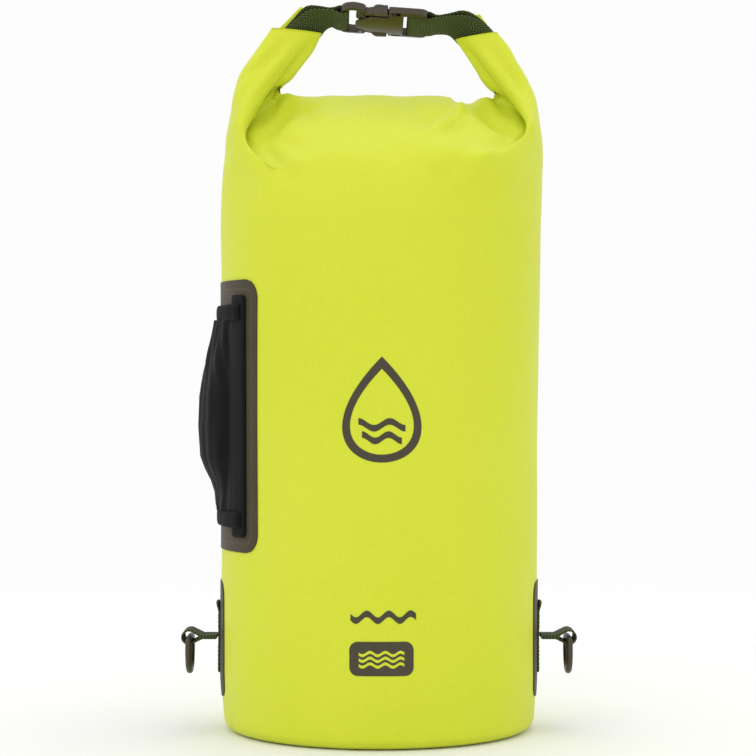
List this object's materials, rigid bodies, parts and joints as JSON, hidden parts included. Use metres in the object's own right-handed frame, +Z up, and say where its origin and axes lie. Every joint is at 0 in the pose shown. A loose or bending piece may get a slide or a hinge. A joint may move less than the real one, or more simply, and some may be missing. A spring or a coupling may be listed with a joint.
{
  "type": "roll-top dry bag",
  "caption": "Filled roll-top waterproof bag, its rolled ends clipped into a carrying loop by a side-release buckle, with a mesh side pocket and a D-ring tab low on each side.",
  "frame": {"origin": "centre of the base's underside", "axes": "+Z up, -Y to the printed front, +X to the right of someone facing the front; the mesh pocket is on -X"},
  "size_m": [0.2946, 0.236, 0.5386],
  "materials": {
    "shell_fabric": "coated fabric, satin",
    "patch_fabric": "coated fabric, matt",
    "black_tape": "ribbed tape",
    "pocket_mesh_cloth": "open mesh",
    "olive_webbing": "woven webbing",
    "buckle_plastic": "moulded acetal, satin",
    "ring_plastic": "moulded acetal, satin",
    "stiffener_plastic": "plain strip"
  },
  "bodies": {
    "bag": {"body_tube": "shell_fabric", "base_panel": "shell_fabric", "roll_middle": "shell_fabric", "left_horn": "shell_fabric", "right_horn": "shell_fabric", "mouth_stiffener": "stiffener_plastic", "mouth_webbing": "olive_webbing", "left_strap": "olive_webbing", "right_strap": "olive_webbing", "buckle_socket": "buckle_plastic", "pocket_patch": "patch_fabric", "pocket_tape_front": "black_tape", "pocket_tape_back": "black_tape", "pocket_hem": "black_tape", "pocket_foot": "black_tape", "pocket_mesh": "pocket_mesh_cloth", "left_ring_patch": "patch_fabric", "left_ring_anchor": "olive_webbing", "right_ring_patch": "patch_fabric", "right_ring_anchor": "olive_webbing"},
    "buckle_male": {"buckle_male": "buckle_plastic"},
    "latch_near": {"latch_arm_near": "buckle_plastic"},
    "latch_far": {"latch_arm_far": "buckle_plastic"},
    "left_tab": {"left_ring_tab": "olive_webbing"},
    "left_ring": {"left_ring_ring": "ring_plastic"},
    "right_tab": {"right_ring_tab": "olive_webbing"},
    "right_ring": {"right_ring_ring": "ring_plastic"}
  },
  "joints": [
    {"name": "buckle_release", "type": "slide", "parent": "bag", "child": "buckle_male", "axis": [-0.9976, 0, 0.0698], "range_m": [0, 0.03], "deforming": ["left_strap", "latch_arm_near", "latch_arm_far"]},
    {"name": "latch_near_squeeze", "type": "hinge", "parent": "buckle_male", "child": "latch_near", "pos_m": [-0.00976, -0.01494, 0.53336], "axis": [0.0647, 0.3746, 0.9249], "range_deg": [0, 8], "stiffness_Nm_per_rad": 0.8},
    {"name": "latch_far_squeeze", "type": "hinge", "parent": "buckle_male", "child": "latch_far", "pos_m": [-0.01038, 0.00694, 0.52454], "axis": [-0.0647, -0.3746, -0.9249], "range_deg": [0, 8], "stiffness_Nm_per_rad": 0.8},
    {"name": "left_tab_flex", "type": "hinge", "parent": "bag", "child": "left_tab", "pos_m": [-0.1219, 0, 0.068], "axis": [0, 1, 0], "range_deg": [-20, 35], "stiffness_Nm_per_rad": 0.03},
    {"name": "left_ring_swing", "type": "hinge", "parent": "left_tab", "child": "left_ring", "pos_m": [-0.1416, 0, 0.0664], "axis": [0, 1, 0], "range_deg": [-20, 150]},
    {"name": "right_tab_flex", "type": "hinge", "parent": "bag", "child": "right_tab", "pos_m": [0.1219, 0, 0.068], "axis": [0, -1, 0], "range_deg": [-20, 35], "stiffness_Nm_per_rad": 0.03},
    {"name": "right_ring_swing", "type": "hinge", "parent": "right_tab", "child": "right_ring", "pos_m": [0.1416, 0, 0.0664], "axis": [0, -1, 0], "range_deg": [-20, 150]}
  ]
}
